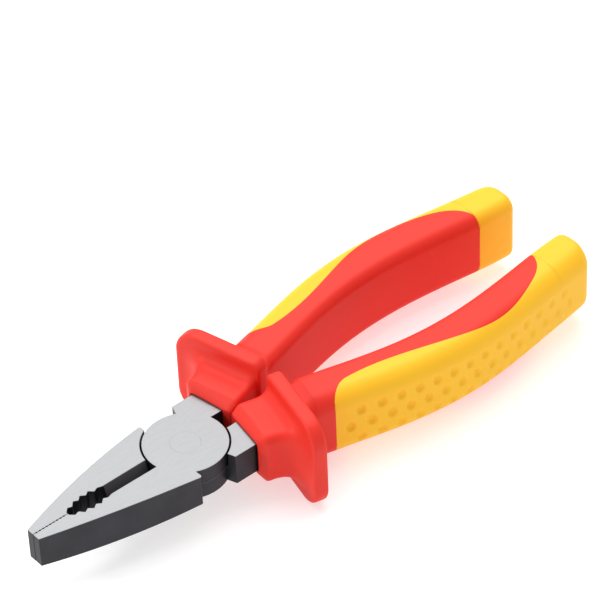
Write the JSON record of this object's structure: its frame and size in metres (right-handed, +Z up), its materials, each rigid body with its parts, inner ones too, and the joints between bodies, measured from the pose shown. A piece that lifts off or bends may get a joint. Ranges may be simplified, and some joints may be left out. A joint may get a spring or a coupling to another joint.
{
  "type": "lineman pliers",
  "caption": "Insulated combination pliers with flat and pipe grip jaws, side cutter, lap joint on a flush rivet, hand guards and two-colour moulded grips.",
  "frame": {"origin": "centre of the bounding box in X and Y, at the lowest face of the hand guards", "axes": "+X from the jaw tips to the handle ends, +Y towards the right handle, +Z up through the head along the pivot axis"},
  "size_m": [0.2023, 0.067, 0.0322],
  "materials": {
    "forged_steel": "ground faces, dark burnished sides",
    "rivet_steel": "ground flush",
    "core_plastic": "moulded, plain",
    "red_plastic": "satin moulded",
    "yellow_plastic": "satin moulded, dimpled"
  },
  "bodies": {
    "left_lever": {"lever_left": "forged_steel", "pivot_rivet": "rivet_steel", "core_sleeve_left": "core_plastic", "grip_body_left": "red_plastic", "grip_cover_left": "yellow_plastic"},
    "right_lever": {"lever_right": "forged_steel", "core_sleeve_right": "core_plastic", "grip_body_right": "red_plastic", "grip_cover_right": "yellow_plastic"}
  },
  "joints": [
    {"name": "pivot", "type": "hinge", "parent": "left_lever", "child": "right_lever", "pos_m": [-0.04405, 0, 0.0161], "axis": [0, 0, 1], "range_deg": [0, 38]}
  ]
}
